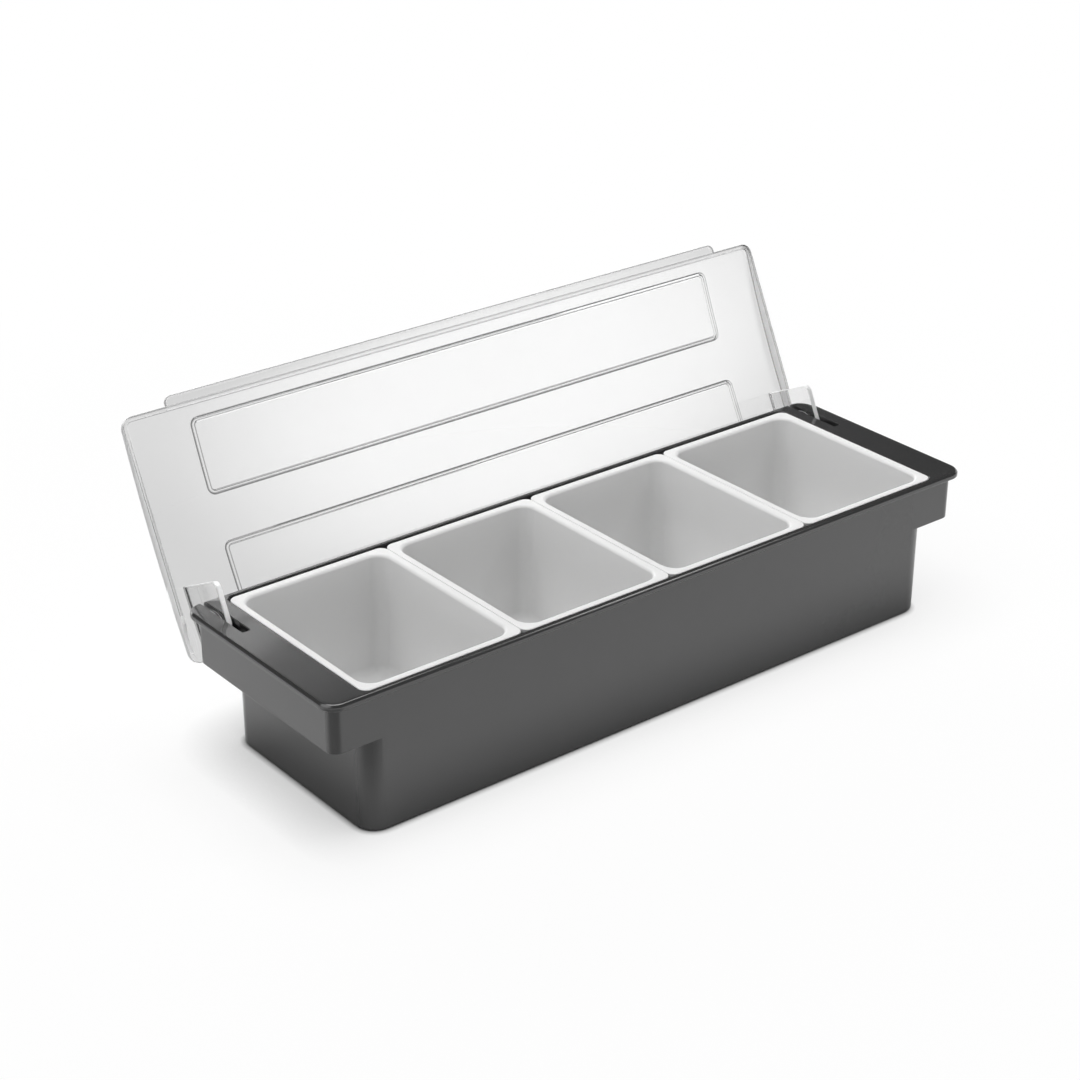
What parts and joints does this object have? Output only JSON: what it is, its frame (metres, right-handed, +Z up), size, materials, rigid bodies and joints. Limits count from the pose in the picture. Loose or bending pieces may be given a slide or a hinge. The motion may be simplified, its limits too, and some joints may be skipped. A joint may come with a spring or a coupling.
{
  "type": "condiment caddy",
  "caption": "Long tub with an end grip at each end, white lift-out trays side by side in its rim, and one clear domed lid that flips back on hinge pins.",
  "frame": {"origin": "centre of the tub's flat underside, on the surface the caddy stands on", "axes": "+X along the caddy to its right end, +Y to the back where the hinge is, +Z up. The lid is stored open, leaning back"},
  "size_m": [0.5, 0.2162, 0.1985],
  "materials": {
    "tub_plastic": "satin dark grey moulded plastic",
    "tray_plastic": "semi-gloss white moulded plastic",
    "clear_plastic": "clear, polished, faintly grey",
    "pin_steel": "plain turned pin"
  },
  "bodies": {
    "tub": {"body": "tub_plastic", "hinge_pin_left": "pin_steel", "hinge_pin_right": "pin_steel"},
    "flip_lid": {"lid": "clear_plastic"},
    "tray_a": {"tray_1": "tray_plastic"},
    "tray_b": {"tray_2": "tray_plastic"},
    "tray_c": {"tray_3": "tray_plastic"},
    "tray_d": {"tray_4": "tray_plastic"}
  },
  "joints": [
    {"name": "lid_hinge", "type": "hinge", "parent": "tub", "child": "flip_lid", "pos_m": [0, 0.0614, 0.0803], "axis": [-1, 0, 0], "range_deg": [-116.4, 0]},
    {"name": "tray_1_lift", "type": "slide", "parent": "tub", "child": "tray_a", "axis": [0, 0, 1], "range_m": [0, 0.1]},
    {"name": "tray_2_lift", "type": "slide", "parent": "tub", "child": "tray_b", "axis": [0, 0, 1], "range_m": [0, 0.1]},
    {"name": "tray_3_lift", "type": "slide", "parent": "tub", "child": "tray_c", "axis": [0, 0, 1], "range_m": [0, 0.1]},
    {"name": "tray_4_lift", "type": "slide", "parent": "tub", "child": "tray_d", "axis": [0, 0, 1], "range_m": [0, 0.1]}
  ]
}
